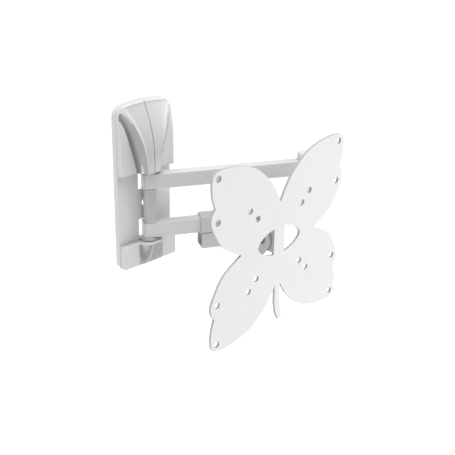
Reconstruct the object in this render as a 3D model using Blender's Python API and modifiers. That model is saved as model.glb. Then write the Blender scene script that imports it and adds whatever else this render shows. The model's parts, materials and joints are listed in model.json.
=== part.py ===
"""Full motion wall mount for a flat screen.

A wall plate with two covers carries a double-bar first arm on a hinge pin. The second arm runs
from the elbow back to a head that swivels and tilts, and the head holds a butterfly-shaped VESA
plate. Metres, +Z up, the screen side towards -Y. The origin is on the wall plane, in the middle
of the wall plate.
"""

import math

import bmesh
import bpy
from mathutils import Matrix, Vector

MM = 0.001
GAP = 0.3 * MM

# Wall plate: a shallow pan with an arched top.
PLATE_HALF_WIDTH = 42.5 * MM
PLATE_TOP = 107 * MM
PLATE_BOTTOM = -107 * MM
PAN_DEPTH = 7.5 * MM
PAN_SHEET = 2 * MM
ARCH_HALF_WIDTH = 30 * MM
ARCH_RADIUS = 162 * MM
SHOULDER_Z = 90 * MM
FOOT_RADIUS = 3 * MM
WINDOW_HALF_WIDTH = 10.3 * MM
UPPER_WINDOW = (-8.4 * MM, 18.1 * MM)
LOWER_WINDOW = (-76.1 * MM, -48.6 * MM)
FIXING_HOLE_RADIUS = 5 * MM
FIXING_SLOT_HALF = 7 * MM
FIXING_SLOT_RADIUS = 3.2 * MM
FIXING_HOLE_Z = -27 * MM
FIXING_SLOTS = ((0, 70 * MM), (-27 * MM, -92 * MM), (27 * MM, -92 * MM))

# Arm geometry, seen from above: the first arm leaves the wall at ARM_ANGLE, and the second comes back.
PIVOT = Vector((0, -15.5 * MM, 0))
ARM_Z = -29 * MM
ARM_ANGLE = math.radians(27.3)
FIRST_ARM = 213 * MM
SECOND_ARM = 157 * MM
SECOND_ANGLE = math.radians(18.5)
TILT_FROM_SWIVEL = 22 * MM
PLATE_FROM_TILT = 18 * MM

# First arm: two rectangular tubes, one above the other.
BAR_TALL = 20 * MM
BAR_DEEP = 14 * MM
BAR_WALL = 2 * MM
BAR_OFFSET = 33 * MM
BAR_OVERHANG = 7.9 * MM
BAR_CORNER = 1.2 * MM
PLUG_FLANGE = 1.2 * MM
PLUG_DEPTH = 1 * MM

# Second arm: one deeper tube that nests between the bars.
LINK_TALL = 28 * MM
LINK_DROP = 6 * MM
BARREL_RADIUS = 8.8 * MM
ELBOW_BARREL_HALF = 21.4 * MM

# Pins, bushes and washers.
PIN_RADIUS = 4 * MM
PIN_BORE = 4.3 * MM
BUSH_RADIUS = 5 * MM
BUSH_BORE = 5.3 * MM
HEAD_RADIUS = 6.5 * MM
HEAD_TALL = 4.5 * MM
NUT_RADIUS = 7 * MM
NUT_TALL = 6 * MM
WASHER_RADIUS = 8 * MM
WASHER = 0.6 * MM
SPACER_RADIUS = 6 * MM
RIVET_RADIUS = 2 * MM
RIVET_HEAD_RADIUS = 3.5 * MM
RIVET_HEAD = 1.5 * MM

# Hinge brackets on the wall plate.
EAR_HALF_WIDTH = 10 * MM
BRACKET_SHEET = 2.5 * MM
BRACKET_FOOT = 27 * MM
RIVETS_ALONG_FOOT = (14.5 * MM, 22.5 * MM)

# Covers.
COVER_BACK = PAN_DEPTH + GAP
COVER_WALL = 2 * MM
COVER_FLAT = 17 * MM
LOWER_COVER_FLAT = 18.5 * MM
UPPER_COVER_FOOT = 18 * MM
LOWER_COVER_HEAD = -76.5 * MM
FAN_CROWN = 0.6 * MM

# Knuckle between the bars.
KNUCKLE_FRONT = 8.3 * MM
KNUCKLE_LIP = 1.5 * MM

# Cable clip on the lower bar.
CLIP_START = 67 * MM
CLIP_LENGTH = 36 * MM
CLIP_FRONT = 13 * MM
CLIP_WALL = 2 * MM
CLIP_SLIT = 1.2 * MM
CLIP_DROP = 20.8 * MM
CLIP_CORNER = 2.4 * MM

# Elbow caps.
CAP_RADIUS = 12 * MM
CAP_TALL = 10.5 * MM
LOWER_CAP_TALL = 11 * MM
CAP_POCKET_RADIUS = 8.5 * MM
CAP_POCKET = 9 * MM
CAP_EDGE = 4 * MM

# Head bracket.
HEAD_SHEET = 2.5 * MM
HEAD_TAB_RADIUS = 10 * MM
HEAD_WEB_FRONT = 11.8 * MM
EAR_INNER = 9.9 * MM
EAR_OUTER = 12.6 * MM
EAR_RADIUS = 14 * MM
EAR_TAPER = 35

# VESA plate.
VESA_SHEET = 3 * MM
VESA_HOLE_RADIUS = 4 * MM
VESA_HOLES = ((100, 100), (100, 50), (50, 50), (37.5, 37.5))
CUTOUT_EDGE = 8.8 * MM
CUTOUT_REACH = 27.2 * MM
CUTOUT_HALF = 16.2 * MM
CUTOUT_POWER = 1.65
TAB_SHEET = 2.8 * MM
TAB_REACH = 26.5 * MM
TAB_HALF = 14 * MM
TAB_POWER = 3
TONGUE_HALF_WIDTH = 4.5 * MM
TONGUE_TOP = -45 * MM
TONGUE_END = -100 * MM
TONGUE_BEND = -78 * MM
TONGUE_LIFT = 5.5 * MM

# Outline of a quarter of the VESA plate, from the top notch round to the side notch and the waist.
UPPER_LOBE = (
    (0, 48.3), (13.3, 71.7), (30, 89), (48, 101), (75, 108.3),
    (98, 109), (106.5, 105), (109.3, 96), (108.2, 80), (104, 66.7),
)
SIDE_LOBE = ((104, 66.7), (108.6, 60), (109.8, 50), (103, 35), (91.7, 18), (75, 6.7), (62.5, 0))


def clear_scene():
    for thing in list(bpy.data.objects):
        bpy.data.objects.remove(thing, do_unlink=True)


def new_collection(name):
    made = bpy.data.collections.new(name)
    bpy.context.scene.collection.children.link(made)
    return made


def make_material(name, colour, roughness, metallic=0.0):
    made = bpy.data.materials.new(name)
    made.use_nodes = True
    shader = made.node_tree.nodes["Principled BSDF"]
    shader.inputs["Base Color"].default_value = (*colour, 1)
    shader.inputs["Roughness"].default_value = roughness
    shader.inputs["Metallic"].default_value = metallic
    return made


def pivot_empty(name, place, angle, parts):
    """An empty on a joint's axis. The pieces of the body that turns there are its children."""
    empty = bpy.data.objects.new(name, None)
    empty.location = place
    empty.rotation_euler = (0, 0, angle)
    parts.objects.link(empty)
    return empty


class Workshop:
    """Puts each piece into its collection with its own material, under the empty of its body."""

    def __init__(self, parts, cutters):
        self.parts = parts
        self.cutters = cutters
        self.parent = None

    def place(self, name, mesh_data, finish):
        thing = bpy.data.objects.new(name, mesh_data)
        colour, roughness, metallic = finish
        mesh_data.materials.append(make_material(name, colour, roughness, metallic))
        mesh_data.shade_smooth()
        mesh_data.set_sharp_from_angle(angle=math.radians(35))
        self.parts.objects.link(thing)
        thing.parent = self.parent
        return thing

    def cutter(self, name, mesh_data, parent=None):
        thing = bpy.data.objects.new(name, mesh_data)
        self.cutters.objects.link(thing)
        thing.parent = parent or self.parent
        thing.hide_render = True
        thing.display_type = "WIRE"
        return thing


def boolean(thing, other, operation):
    modifier = thing.modifiers.new(other.name, "BOOLEAN")
    modifier.operation = operation
    modifier.solver = "EXACT"
    modifier.object = other
    return thing


def cut(thing, other):
    return boolean(thing, other, "DIFFERENCE")


def join(thing, other):
    return boolean(thing, other, "UNION")


def bevel(thing, width, segments=2, angle=40):
    modifier = thing.modifiers.new("Edges", "BEVEL")
    modifier.width = width
    modifier.segments = segments
    modifier.limit_method = "ANGLE"
    modifier.angle_limit = math.radians(angle)
    modifier.harden_normals = False
    return thing


def finished(bm, name):
    bmesh.ops.recalc_face_normals(bm, faces=bm.faces)
    data = bpy.data.meshes.new(name)
    bm.to_mesh(data)
    bm.free()
    return data


def box_mesh(name, low, high):
    bm = bmesh.new()
    bmesh.ops.create_cube(bm, size=1)
    low, high = Vector(low), Vector(high)
    bmesh.ops.scale(bm, vec=high - low, verts=bm.verts)
    bmesh.ops.translate(bm, vec=(low + high) / 2, verts=bm.verts)
    return finished(bm, name)


def boxes_mesh(name, corners):
    bm = bmesh.new()
    for low, high in corners:
        low, high = Vector(low), Vector(high)
        made = bmesh.ops.create_cube(bm, size=1)["verts"]
        bmesh.ops.scale(bm, vec=high - low, verts=made)
        bmesh.ops.translate(bm, vec=(low + high) / 2, verts=made)
    return finished(bm, name)


def rods_mesh(name, radius, ends, sides=16):
    """Closed cylinders between pairs of points."""
    bm = bmesh.new()
    for low, high in ends:
        low, high = Vector(low), Vector(high)
        turn = (high - low).to_track_quat("Z", "Y").to_matrix().to_4x4()
        bmesh.ops.create_cone(
            bm,
            cap_ends=True,
            segments=sides,
            radius1=radius,
            radius2=radius,
            depth=(high - low).length,
            matrix=Matrix.Translation((low + high) / 2) @ turn,
        )
    return finished(bm, name)


def prism_mesh(name, outline, low, high, along="Z"):
    """A flat outline carried from low to high along one axis."""
    place = {
        "X": lambda a, b, c: (c, a, b),
        "Y": lambda a, b, c: (a, c, b),
        "Z": lambda a, b, c: (a, b, c),
    }[along]
    bm = bmesh.new()
    base = bm.faces.new([bm.verts.new(place(a, b, low)) for a, b in outline])
    top = bmesh.ops.extrude_face_region(bm, geom=[base])["geom"]
    moved = [item for item in top if isinstance(item, bmesh.types.BMVert)]
    bmesh.ops.translate(bm, vec=place(0, 0, high - low), verts=moved)
    return finished(bm, name)


def turned_mesh(name, profile, closed):
    """The edge that a Screw modifier turns: radius and height, down the outer side."""
    bm = bmesh.new()
    points = [bm.verts.new((radius, 0, height)) for radius, height in profile]
    for first, second in zip(points, points[1:]):
        bm.edges.new((first, second))
    if closed:
        bm.edges.new((points[-1], points[0]))
    data = bpy.data.meshes.new(name)
    bm.to_mesh(data)
    bm.free()
    return data


def screwed(thing, steps):
    modifier = thing.modifiers.new("Turn", "SCREW")
    modifier.steps = steps
    modifier.render_steps = steps
    modifier.use_merge_vertices = True
    modifier.merge_threshold = 0.00001
    return thing


def turned(shop, name, finish, profile, place, closed=False, steps=16, axis="Z"):
    thing = shop.place(name, turned_mesh(name, profile, closed), finish)
    thing.location = place
    if axis == "X":
        thing.rotation_euler = (0, math.pi / 2, 0)
    if axis == "Y":
        thing.rotation_euler = (math.pi / 2, 0, 0)
    return screwed(thing, steps)


def ring(outer, inner, low, high):
    """Profile of a washer, a bush or a tube."""
    return [(outer, high), (outer, low), (inner, low), (inner, high)]


def bolt(radius, head_radius, top, head, end, edge=0.8 * MM):
    """Profile of a round-headed bolt that points down, with a chamfered tip."""
    return [
        (0, top),
        (head_radius - edge, top),
        (head_radius, top - edge),
        (head_radius, top - head),
        (radius, top - head),
        (radius, end + edge),
        (radius - edge, end),
        (0, end),
    ]


def arc(centre, radius, start, end, steps):
    """Points of an arc, with its angles in degrees."""
    angles = [math.radians(start + (end - start) * i / steps) for i in range(steps + 1)]
    return [(centre[0] + radius * math.cos(a), centre[1] + radius * math.sin(a)) for a in angles]


def smooth_path(points, steps):
    """A Catmull-Rom curve through the points, sampled evenly between each pair, without its last point."""
    made = []
    for i in range(len(points) - 1):
        before = Vector(points[max(i - 1, 0)])
        start, end = Vector(points[i]), Vector(points[i + 1])
        after = Vector(points[min(i + 2, len(points) - 1)])
        for k in range(steps):
            t = k / steps
            made.append(
                tuple(
                    (
                        2 * start
                        + (end - before) * t
                        + (2 * before - 5 * start + 4 * end - after) * t**2
                        + (3 * start - before - 3 * end + after) * t**3
                    )
                    / 2
                )
            )
    return made


def plate_top(x):
    """Height of the arched top edge over x."""
    x = abs(x)
    if x <= ARCH_HALF_WIDTH:
        return PLATE_TOP - x**2 / (2 * ARCH_RADIUS)
    across = min((x - ARCH_HALF_WIDTH) / (PLATE_HALF_WIDTH - ARCH_HALF_WIDTH), 1)
    rise = PLATE_TOP - ARCH_HALF_WIDTH**2 / (2 * ARCH_RADIUS) - SHOULDER_Z
    return SHOULDER_Z + rise * math.sqrt(1 - across**2)


def pan_outline(inset):
    """The wall plate's outline, drawn in by inset."""
    across = 1 - inset / PLATE_HALF_WIDTH
    foot = PLATE_BOTTOM + inset
    half = PLATE_HALF_WIDTH * across
    corner = FOOT_RADIUS
    top = []
    for i in range(25):
        x = PLATE_HALF_WIDTH * math.sin(math.pi / 2 * (1 - i / 12))
        top.append((x * across, plate_top(x) - inset))
    left = arc((corner - half, foot + corner), corner, 180, 270, 4)
    right = arc((half - corner, foot + corner), corner, 270, 360, 4)
    return left + right + top


def slot_outline(centre, half_length, radius):
    """A round-ended slot along the first axis."""
    x, z = centre
    return arc((x + half_length, z), radius, -90, 90, 6) + arc((x - half_length, z), radius, 90, 270, 6)


def make_wall_plate(shop, finish):
    plate = shop.place("wall_plate", prism_mesh("wall_plate", pan_outline(0), -PAN_DEPTH, 0, "Y"), finish)
    hollow = prism_mesh("pan_hollow", pan_outline(PAN_SHEET), PAN_SHEET - PAN_DEPTH, 5 * MM, "Y")
    cut(plate, shop.cutter("pan_hollow", hollow))
    openings = [
        ((-WINDOW_HALF_WIDTH, -2 * PAN_DEPTH, low), (WINDOW_HALF_WIDTH, 0, high))
        for low, high in (UPPER_WINDOW, LOWER_WINDOW)
    ]
    cut(plate, shop.cutter("pan_windows", boxes_mesh("pan_windows", openings)))
    middle = [((0, -2 * PAN_DEPTH, FIXING_HOLE_Z), (0, 0, FIXING_HOLE_Z))]
    cut(plate, shop.cutter("middle_fixing", rods_mesh("middle_fixing", FIXING_HOLE_RADIUS, middle)))
    for centre in FIXING_SLOTS:
        outline = slot_outline(centre, FIXING_SLOT_HALF, FIXING_SLOT_RADIUS)
        slot = prism_mesh("fixing_slot", outline, -2 * PAN_DEPTH, 0, "Y")
        cut(plate, shop.cutter("fixing_slot", slot))
    rivets = [
        ((0, -2 * PAN_DEPTH, z), (0, 0, z))
        for side in (1, -1)
        for z in rivet_heights(side)
    ]
    cut(plate, shop.cutter("pan_rivet_holes", rods_mesh("pan_rivet_holes", RIVET_RADIUS + GAP, rivets, 12)))
    return plate


def ear_level(side):
    """The face of an ear that looks at the arm."""
    return ARM_Z + side * (BAR_OFFSET + BAR_TALL / 2 + WASHER + 2 * GAP)


def rivet_heights(side):
    return [ear_level(side) + side * along for along in RIVETS_ALONG_FOOT]


def make_hinge_bracket(shop, name, side, finish):
    """An angle: a round-ended ear that comes out of a window, and a foot riveted behind the pan's face."""
    near = ear_level(side)
    far = near + side * BRACKET_SHEET
    back = PAN_SHEET + GAP + BRACKET_SHEET - PAN_DEPTH
    ear_outline = arc((0, PIVOT.y), EAR_HALF_WIDTH, 180, 360, 12)
    ear_outline += [(EAR_HALF_WIDTH, back), (-EAR_HALF_WIDTH, back)]
    bracket = shop.place(name, prism_mesh(name, ear_outline, min(near, far), max(near, far)), finish)
    end = near + side * BRACKET_FOOT
    foot = box_mesh(
        name + "_foot",
        (-EAR_HALF_WIDTH, back - BRACKET_SHEET, min(near, end)),
        (EAR_HALF_WIDTH, back, max(near, end)),
    )
    join(bracket, shop.cutter(name + "_foot", foot))
    bore = [((0, PIVOT.y, near - 2 * BRACKET_SHEET), (0, PIVOT.y, near + 2 * BRACKET_SHEET))]
    cut(bracket, shop.cutter(name + "_bore", rods_mesh(name + "_bore", PIN_BORE, bore)))
    holes = [((0, -2 * PAN_DEPTH, z), (0, 0, z)) for z in rivet_heights(side)]
    cut(bracket, shop.cutter(name + "_holes", rods_mesh(name + "_holes", RIVET_RADIUS + GAP, holes, 12)))
    return bracket


def make_rivets(shop, side, label, finish):
    """Rivets through a bracket's foot and the pan, each with a head on both sides."""
    front = PAN_DEPTH + GAP
    back = PAN_DEPTH - PAN_SHEET - BRACKET_SHEET - 2 * GAP
    profile = [
        (0, front + RIVET_HEAD),
        (RIVET_HEAD_RADIUS - 0.8 * MM, front + RIVET_HEAD),
        (RIVET_HEAD_RADIUS, front + RIVET_HEAD / 2),
        (RIVET_HEAD_RADIUS, front),
        (RIVET_RADIUS, front),
        (RIVET_RADIUS, back),
        (RIVET_HEAD_RADIUS, back),
        (RIVET_HEAD_RADIUS, back - RIVET_HEAD),
        (0, back - RIVET_HEAD),
    ]
    for number, z in enumerate(rivet_heights(side), 1):
        turned(shop, f"{label}_bracket_rivet_{number}", finish, profile, (0, 0, z), steps=12, axis="Y")


def section_depth(across, fan, base, ridge, flat):
    """Depth of a cover off the wall: a slightly crowned fan, concave sides, then the flat."""
    if across <= fan:
        return ridge - FAN_CROWN * (across / fan) ** 2
    if across >= base:
        return flat
    fall = (across - fan) / (base - fan)
    return flat + (ridge - FAN_CROWN - flat) * (1 - fall) ** 1.6


def upper_section(z):
    """Fan half-width, base half-width, ridge depth and flat depth of the upper cover at a height."""
    up = max(0, (z - UPPER_COVER_FOOT) / (87 * MM))
    fan = (10 + 23 * up**1.9) * MM
    base = min(19.5 + 22 * (max(0, z - 22 * MM) / (76 * MM)) ** 1.05, 41.4) * MM
    fall = min(max((105 * MM - z) / (65 * MM), 0), 1)
    ridge = (10.2 + 19 * (1 - (1 - fall) ** 1.9)) * MM
    flat = COVER_FLAT - 6.6 * MM * (max(0, z - 60 * MM) / (47 * MM)) ** 2
    return fan, base, max(ridge, flat), flat


def lower_section(z):
    """The same four values for the lower cover, whose bulge swells towards the arm."""
    up = (z - PLATE_BOTTOM) / (LOWER_COVER_HEAD - PLATE_BOTTOM)
    return (15 - 5 * up) * MM, 20.5 * MM, (19.4 + 10.4 * up**0.8) * MM, LOWER_COVER_FLAT


FAN_STEPS = (0, 0.5, 1)
SIDE_STEPS = (0.2, 0.42, 0.7, 1)
FLAT_STEPS = (0.5, 1)


def columns_at(fan, base):
    """Half-widths of the grid's columns, which follow the fan's edge and the foot of the sides."""
    half = [step * fan for step in FAN_STEPS]
    half += [fan + step * (base - fan) for step in SIDE_STEPS]
    half += [base + step * (PLATE_HALF_WIDTH - base) for step in FLAT_STEPS]
    return [-x for x in reversed(half[1:])] + half


def cover_mesh(name, rows, section, foot, top_edge, walls):
    """A sheet over the wall plate, with its rims turned back to the plate.

    walls says whether the lower and upper edges have a rim. Column and row 0 and the last ones are
    the rims, so they repeat their neighbour's place, but at the depth of the plate.
    """
    count = len(columns_at(1, 2))
    bm = bmesh.new()
    first, last = (1 if walls[0] else 0), (rows + 1 if walls[0] else rows)
    total = last + (1 if walls[1] else 0)
    bmesh.ops.create_grid(bm, x_segments=count + 1, y_segments=total, size=1)
    for vertex in bm.verts:
        column = round((vertex.co.x + 1) / 2 * (count + 1))
        row = round((vertex.co.y + 1) / 2 * total)
        inner_column = min(max(column, 1), count)
        inner_row = min(max(row, first), last)
        up = (inner_row - first) / rows
        nominal = foot + up * (top_edge(0) - foot)
        fan, base, ridge, flat = section(nominal)
        x = columns_at(fan, base)[inner_column - 1]
        z = foot + up * (top_edge(x) - foot)
        depth = section_depth(abs(x), fan, base, ridge, flat)
        if column != inner_column or row != inner_row:
            depth = COVER_BACK
        vertex.co = (x, -depth, z)
    bmesh.ops.remove_doubles(bm, verts=bm.verts, dist=0.00001)
    bmesh.ops.recalc_face_normals(bm, faces=bm.faces)
    middle = min(bm.faces, key=lambda face: face.calc_center_median().y)
    if middle.normal.y > 0:
        bmesh.ops.reverse_faces(bm, faces=bm.faces)
    data = bpy.data.meshes.new(name)
    bm.to_mesh(data)
    bm.free()
    return data


def shell(thing, wall):
    modifier = thing.modifiers.new("Wall", "SOLIDIFY")
    modifier.thickness = wall
    modifier.offset = -1
    modifier.use_even_offset = True
    return thing


def make_covers(shop, finish):
    upper = cover_mesh("upper_cover", 13, upper_section, UPPER_COVER_FOOT, plate_top, (False, True))
    shell(shop.place("upper_cover", upper, finish), COVER_WALL)
    lower = cover_mesh(
        "lower_cover", 6, lower_section, PLATE_BOTTOM, lambda x: LOWER_COVER_HEAD, (True, True)
    )
    lower_cover = shell(shop.place("lower_cover", lower, finish), COVER_WALL)
    notch = box_mesh(
        "lower_cover_notch",
        (-EAR_HALF_WIDTH - 2 * GAP, -24 * MM, LOWER_COVER_HEAD - 2 * COVER_WALL),
        (EAR_HALF_WIDTH + 2 * GAP, -5 * MM, LOWER_COVER_HEAD + 2 * COVER_WALL),
    )
    cut(lower_cover, shop.cutter("lower_cover_notch", notch))


def make_wall_pin(shop, steel):
    """The hinge pin from above the upper ear to below the lower one, and its nut."""
    top = ear_level(1) + BRACKET_SHEET + GAP
    low = ear_level(-1) - BRACKET_SHEET - GAP
    head = bolt(PIN_RADIUS, HEAD_RADIUS, top + HEAD_TALL, HEAD_TALL, low - NUT_TALL - 1 * MM)
    turned(shop, "wall_hinge_pin", steel, head, PIVOT)
    make_nut(shop, "wall_hinge_nut", PIVOT, low)


def make_nut(shop, name, place, top, axis="Z"):
    """A hexagon nut that hangs from top, bored for its pin. Along X, top is its right-hand face."""
    hexagon = arc((0, 0), NUT_RADIUS, 0, 300, 5)
    thing = shop.place(name, prism_mesh(name, hexagon, top - NUT_TALL, top), ZINC)
    thing.location = place
    through = [((0, 0, top - 2 * NUT_TALL), (0, 0, top + NUT_TALL))]
    bore = shop.cutter(name + "_bore", rods_mesh(name + "_bore", PIN_BORE, through))
    bore.location = place
    if axis == "X":
        thing.rotation_euler = (0, math.pi / 2, 0)
        bore.rotation_euler = (0, math.pi / 2, 0)
    return cut(thing, bore)


def rounded_rectangle(half_a, half_b, corner, centre=(0, 0), steps=3):
    a, b = half_a - corner, half_b - corner
    x, y = centre
    made = []
    for sign_a, sign_b, start in ((1, 1, 0), (-1, 1, 90), (-1, -1, 180), (1, -1, 270)):
        made += arc((x + sign_a * a, y + sign_b * b), corner, start, start + 90, steps)
    return made


def make_bar(shop, name, side, steel):
    """A rectangular tube with a bore for the bushes near each end."""
    z = side * BAR_OFFSET
    low, high = PLUG_FLANGE + GAP - BAR_OVERHANG, FIRST_ARM + BAR_OVERHANG - PLUG_FLANGE - GAP
    outline = rounded_rectangle(BAR_DEEP / 2, BAR_TALL / 2, BAR_CORNER, (0, z))
    bar = shop.place(name, prism_mesh(name, outline, low, high, "X"), steel)
    inner = BAR_DEEP / 2 - BAR_WALL, BAR_TALL / 2 - BAR_WALL
    hollow = rounded_rectangle(*inner, 0.4 * MM, (0, z), 1)
    hollow_mesh = prism_mesh(name + "_hollow", hollow, low - BAR_DEEP, high + BAR_DEEP, "X")
    cut(bar, shop.cutter(name + "_hollow", hollow_mesh))
    bores = [((s, 0, z - BAR_TALL), (s, 0, z + BAR_TALL)) for s in (0, FIRST_ARM)]
    cut(bar, shop.cutter(name + "_bores", rods_mesh(name + "_bores", BUSH_BORE, bores)))
    for end, s in (("wall", 0), ("elbow", FIRST_ARM)):
        label = f"{name.split('_')[0]}_{end}_bush"
        bush = ring(BUSH_RADIUS, PIN_BORE, z - BAR_TALL / 2 + GAP, z + BAR_TALL / 2 - GAP)
        turned(shop, label, NYLON, bush, (s, 0, 0), closed=True)
    for end, s, out in (("wall", -BAR_OVERHANG, 1), ("elbow", FIRST_ARM + BAR_OVERHANG, -1)):
        label = f"{name.split('_')[0]}_bar_{end}_plug"
        inside = s + out * PLUG_FLANGE
        flange = prism_mesh(label, outline, min(s, inside), max(s, inside), "X")
        plug = shop.place(label, flange, PLASTIC)
        stub = [value - GAP for value in inner]
        deep = inside + out * (PLUG_DEPTH + GAP)
        stub_mesh = prism_mesh(
            label + "_stub", rounded_rectangle(*stub, 0.4 * MM, (0, z), 1), min(s, deep), max(s, deep), "X"
        )
        join(plug, shop.cutter(label + "_stub", stub_mesh))


def make_knuckle(shop, steel):
    """The block between the bars at the wall: round at the back round the pin, with thin lips."""
    half = BAR_OFFSET - BAR_TALL / 2 - GAP
    radius = BAR_DEEP / 2
    body = arc((0, 0), radius, 90, 270, 10)
    body += [(KNUCKLE_FRONT, -radius), (KNUCKLE_FRONT, radius)]
    knuckle = shop.place("wall_knuckle", prism_mesh("wall_knuckle", body, -half, half), steel)
    lip = [
        (KNUCKLE_FRONT, radius),
        (-BAR_OVERHANG, radius),
        (-BAR_OVERHANG, -radius),
        (KNUCKLE_FRONT, -radius),
    ]
    for side, label in ((1, "upper"), (-1, "lower")):
        low, high = sorted((side * half, side * (half - KNUCKLE_LIP)))
        lip_mesh = prism_mesh(f"knuckle_{label}_lip", lip, low, high)
        join(knuckle, shop.cutter(f"knuckle_{label}_lip", lip_mesh))
    bore = [((0, 0, -2 * half), (0, 0, 2 * half))]
    cut(knuckle, shop.cutter("knuckle_bore", rods_mesh("knuckle_bore", PIN_BORE, bore)))


def make_clip(shop, plastic):
    """A sleeve round the lower bar, and under it a tray for cables whose front wall stops short of the sleeve."""
    middle = -BAR_OFFSET
    bar_top, bar_foot = middle + BAR_TALL / 2, middle - BAR_TALL / 2
    back = BAR_DEEP / 2 + GAP
    top = bar_top + 2.8 * MM
    front = -CLIP_FRONT
    wall = CLIP_WALL
    sleeve_foot = bar_foot - GAP - wall
    sleeve = [
        (back + wall, top),
        (front, top),
        (front, bar_foot + CLIP_SLIT),
        (front + wall + GAP, bar_foot + CLIP_SLIT),
        (-back, sleeve_foot),
        (back + wall, sleeve_foot),
    ]
    high, low = CLIP_START + CLIP_LENGTH, CLIP_START
    clip = shop.place("cable_clip", prism_mesh("cable_clip", sleeve, low, high, "X"), plastic)
    lip = bar_foot + CLIP_SLIT - MM
    foot = bar_foot - CLIP_DROP
    corner = 1.5 * MM
    tray = [(front, lip)]
    tray += arc((front + corner, foot + corner), corner, 180, 270, 4)
    tray += arc((back + wall - corner, foot + corner), corner, 270, 360, 4)
    tray += [
        (back + wall, sleeve_foot + wall / 2),
        (back, sleeve_foot + wall / 2),
        (back, foot + wall),
        (front + wall, foot + wall),
        (front + wall, lip),
    ]
    join(clip, shop.cutter("clip_tray", prism_mesh("clip_tray", tray, low, high, "X")))
    reach = BAR_TALL
    seat = box_mesh(
        "clip_seat", (low - reach, -back, bar_foot - GAP), (high + reach, back, bar_top + GAP)
    )
    cut(clip, shop.cutter("clip_seat", seat))
    for end, side in ((low, 1), (high, -1)):
        centre = (end + side * CLIP_CORNER, lip - CLIP_CORNER)
        rounded = arc(centre, CLIP_CORNER, 180, 90, 5) if side > 0 else arc(centre, CLIP_CORNER, 0, 90, 5)
        above = lip + 0.8 * MM
        outline = [(end - side * MM, lip - CLIP_CORNER)] + rounded + [(centre[0], above), (end - side * MM, above)]
        shape = prism_mesh("clip_corner", outline, front - MM, front + wall + 0.2 * MM, "Y")
        cut(clip, shop.cutter("clip_corner", shape))


def cap_profile(seat, tall, side):
    """A round cap with a rounded edge over a pin's head. It stands on seat, upwards or downwards."""
    rim = [(CAP_RADIUS - CAP_EDGE, tall)] + [
        (CAP_RADIUS - CAP_EDGE + CAP_EDGE * math.sin(a), tall - CAP_EDGE + CAP_EDGE * math.cos(a))
        for a in (math.pi / 8, math.pi / 4, 3 * math.pi / 8, math.pi / 2)
    ]
    made = [(0, tall)] + rim + [
        (CAP_RADIUS, 0),
        (CAP_POCKET_RADIUS, 0),
        (CAP_POCKET_RADIUS, min(CAP_POCKET, tall - 2 * MM)),
        (0, min(CAP_POCKET, tall - 2 * MM)),
    ]
    placed = [(radius, seat + side * height) for radius, height in made]
    return placed if side > 0 else placed[::-1]


def make_elbow_hardware(shop, steel):
    """The elbow pin through both bars and the barrel, with its nut, washers and caps."""
    half = BAR_OFFSET + BAR_TALL / 2
    elbow = (FIRST_ARM, 0, 0)
    head = bolt(PIN_RADIUS, HEAD_RADIUS, half + GAP + HEAD_TALL, HEAD_TALL, -half - GAP - NUT_TALL - 1 * MM)
    turned(shop, "elbow_pin", steel, head, elbow)
    make_nut(shop, "elbow_nut", elbow, -half - GAP)
    for side, label in ((1, "upper"), (-1, "lower")):
        face = side * (half + GAP)
        profile = cap_profile(face, CAP_TALL if side > 0 else LOWER_CAP_TALL, side)
        turned(shop, f"{label}_elbow_cap", PLASTIC, profile, elbow, steps=24)
        inner = side * (BAR_OFFSET - BAR_TALL / 2 - GAP)
        low, high = sorted((inner, inner - side * WASHER))
        washer = ring(WASHER_RADIUS, PIN_BORE, low, high)
        turned(shop, f"{label}_elbow_washer", NYLON, washer, elbow, closed=True)


def make_first_arm(shop, steel):
    for side, label in ((1, "upper"), (-1, "lower")):
        make_bar(shop, f"{label}_bar", side, steel)
        face = side * (BAR_OFFSET + BAR_TALL / 2 + GAP)
        low, high = sorted((face, face + side * WASHER))
        washer = ring(WASHER_RADIUS, PIN_BORE, low, high)
        turned(shop, f"{label}_wall_washer", NYLON, washer, (0, 0, 0), closed=True)
    make_knuckle(shop, steel)
    make_clip(shop, PLASTIC)
    make_elbow_hardware(shop, ZINC)


def make_second_arm(shop, steel):
    """A tube with a barrel at each end, coped to fit them."""
    high = -LINK_DROP + LINK_TALL / 2
    low = high - LINK_TALL
    half = ELBOW_BARREL_HALF
    elbow = ring(BARREL_RADIUS, BUSH_BORE, -half, half)
    turned(shop, "elbow_barrel", steel, elbow, (0, 0, 0), closed=True)
    turned(shop, "elbow_bush", NYLON, ring(BUSH_RADIUS, PIN_BORE, -half, half), (0, 0, 0), closed=True)
    swivel = (SECOND_ARM, 0, 0)
    turned(shop, "swivel_barrel", steel, ring(BARREL_RADIUS, BUSH_BORE, low, high), swivel, closed=True)
    turned(shop, "swivel_bush", NYLON, ring(BUSH_RADIUS, PIN_BORE, low, high), swivel, closed=True)
    outline = rounded_rectangle(BAR_DEEP / 2, LINK_TALL / 2, BAR_CORNER, (0, -LINK_DROP))
    link = shop.place("second_arm_bar", prism_mesh("second_arm_bar", outline, 0, SECOND_ARM, "X"), steel)
    inner = rounded_rectangle(
        BAR_DEEP / 2 - BAR_WALL, LINK_TALL / 2 - BAR_WALL, 0.4 * MM, (0, -LINK_DROP), 1
    )
    hollow = prism_mesh("link_hollow", inner, -BAR_DEEP, SECOND_ARM + BAR_DEEP, "X")
    cut(link, shop.cutter("link_hollow", hollow))
    copes = [((s, 0, -2 * half), (s, 0, 2 * half)) for s in (0, SECOND_ARM)]
    cut(link, shop.cutter("link_copes", rods_mesh("link_copes", BARREL_RADIUS + GAP, copes, 20)))


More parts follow.
